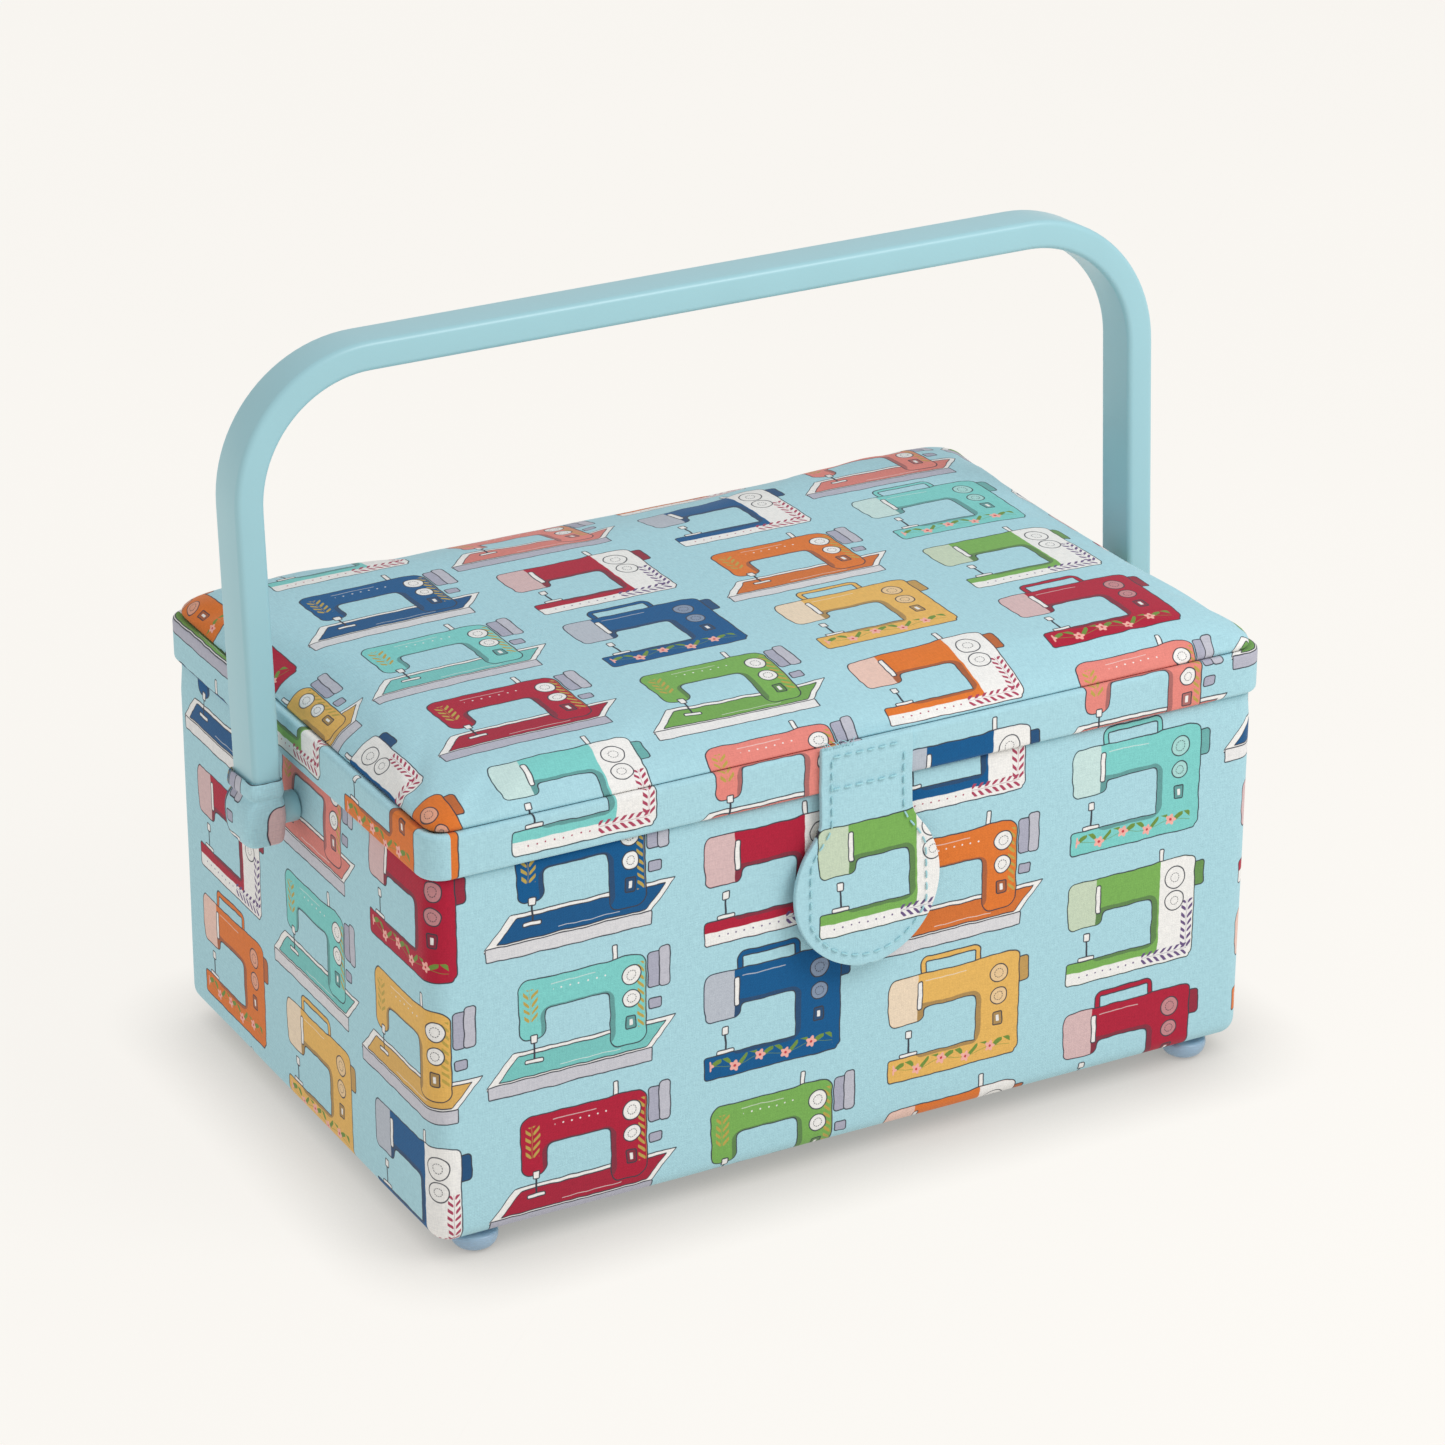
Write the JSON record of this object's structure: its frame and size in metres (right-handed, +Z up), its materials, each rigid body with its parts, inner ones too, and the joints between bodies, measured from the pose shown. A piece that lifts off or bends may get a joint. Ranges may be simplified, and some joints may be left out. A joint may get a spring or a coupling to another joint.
{
  "type": "sewing box with trays",
  "caption": "Fabric-covered sewing box with a padded hinged lid, standing carry handle, press-stud closure tab, round feet and lift-out compartment trays.",
  "frame": {"origin": "centre of the bounding box in plan, level with the underside of the feet", "axes": "+Z up, -Y towards the front with the closure tab, +X towards the right seen from the front"},
  "size_m": [0.2956, 0.1784, 0.2319],
  "materials": {
    "printed_cotton": "matte plain-weave cotton, pale aqua with a small all-over print",
    "plain_cotton": "matte plain-weave cotton, pale aqua",
    "lining_cotton": "matte off-white cotton",
    "chipboard": "grey-brown pressed board",
    "pad_foam": "open soft wadding",
    "elastic_band": "ribbed woven elastic",
    "handle_plastic": "satin pale aqua plastic",
    "foot_plastic": "slightly translucent pale blue plastic",
    "tray_plastic": "frosted translucent plastic",
    "hinge_metal": "satin nickel",
    "pivot_metal": "satin nickel",
    "stud_metal": "bright nickel"
  },
  "bodies": {
    "box": {"bottom_board": "chipboard", "front_wall_board": "chipboard", "back_wall_board": "chipboard", "left_wall_board": "chipboard", "right_wall_board": "chipboard", "body_cover": "printed_cotton", "base_cover": "plain_cotton", "wall_lining": "lining_cotton", "floor_pad": "lining_cotton", "front_tray_ledge": "chipboard", "back_tray_ledge": "chipboard", "front_left_foot": "foot_plastic", "front_right_foot": "foot_plastic", "back_left_foot": "foot_plastic", "back_right_foot": "foot_plastic", "left_pivot_bolt": "pivot_metal", "right_pivot_bolt": "pivot_metal", "left_pivot_cap": "pivot_metal", "right_pivot_cap": "pivot_metal", "left_hinge_body_leaf": "hinge_metal", "right_hinge_body_leaf": "hinge_metal", "left_hinge_pin": "hinge_metal", "right_hinge_pin": "hinge_metal", "snap_socket": "stud_metal", "body_leaf_screw_1": "hinge_metal", "body_leaf_screw_2": "hinge_metal", "body_leaf_screw_3": "hinge_metal", "body_leaf_screw_4": "hinge_metal"},
    "lid": {"lid_rim_frame": "chipboard", "lid_top_board": "chipboard", "lid_rim_cover": "printed_cotton", "lid_top_cover": "printed_cotton", "lid_pad": "pad_foam", "lid_lining": "lining_cotton", "lid_pocket": "lining_cotton", "pocket_elastic": "elastic_band", "pincushion": "printed_cotton", "tab_anchor": "printed_cotton", "left_hinge_lid_leaf": "hinge_metal", "right_hinge_lid_leaf": "hinge_metal", "lid_leaf_screw_1": "hinge_metal", "lid_leaf_screw_2": "hinge_metal", "lid_leaf_screw_3": "hinge_metal", "lid_leaf_screw_4": "hinge_metal"},
    "closure_tab": {"tab_flap": "printed_cotton", "snap_stud": "stud_metal"},
    "handle_pivots": {"left_pivot_washer": "handle_plastic", "right_pivot_washer": "handle_plastic"},
    "handle": {"handle_bail": "handle_plastic", "left_boot": "printed_cotton", "right_boot": "printed_cotton"},
    "left_tray": {"left_tray": "tray_plastic", "left_tray_long_divider": "tray_plastic", "left_tray_front_divider": "tray_plastic", "left_tray_back_divider": "tray_plastic"},
    "right_tray": {"right_tray": "tray_plastic", "right_tray_long_divider": "tray_plastic", "right_tray_front_divider": "tray_plastic", "right_tray_back_divider": "tray_plastic"}
  },
  "joints": [
    {"name": "lid_hinge", "type": "hinge", "parent": "box", "child": "lid", "pos_m": [0, 0.087, 0.1152], "axis": [-1, 0, 0], "range_deg": [0, 105]},
    {"name": "tab_fold", "type": "hinge", "parent": "lid", "child": "closure_tab", "pos_m": [0, -0.0858, 0.117], "axis": [-1, 0, 0], "range_deg": [0, 100]},
    {"name": "handle_push", "type": "hinge", "parent": "box", "child": "handle_pivots", "pos_m": [0, 0, 0.103], "axis": [-1, 0, 0], "range_deg": [0, 93]},
    {"name": "handle_swing", "type": "hinge", "parent": "handle_pivots", "child": "handle", "pos_m": [0, 0, 0.103], "axis": [-1, 0, 0], "range_deg": [-110, 25]},
    {"name": "left_tray_lift", "type": "slide", "parent": "box", "child": "left_tray", "axis": [0, 0, 1], "range_m": [0, 0.028]},
    {"name": "right_tray_lift", "type": "slide", "parent": "box", "child": "right_tray", "axis": [0, 0, 1], "range_m": [0, 0.056]}
  ],
  "couplings": [
    {"joint": "handle_push", "follows": "lid_hinge", "ratio": 0.88},
    {"joint": "left_tray_lift", "follows": "lid_hinge", "m_per_rad": 0.015},
    {"joint": "right_tray_lift", "follows": "lid_hinge", "m_per_rad": 0.03}
  ]
}
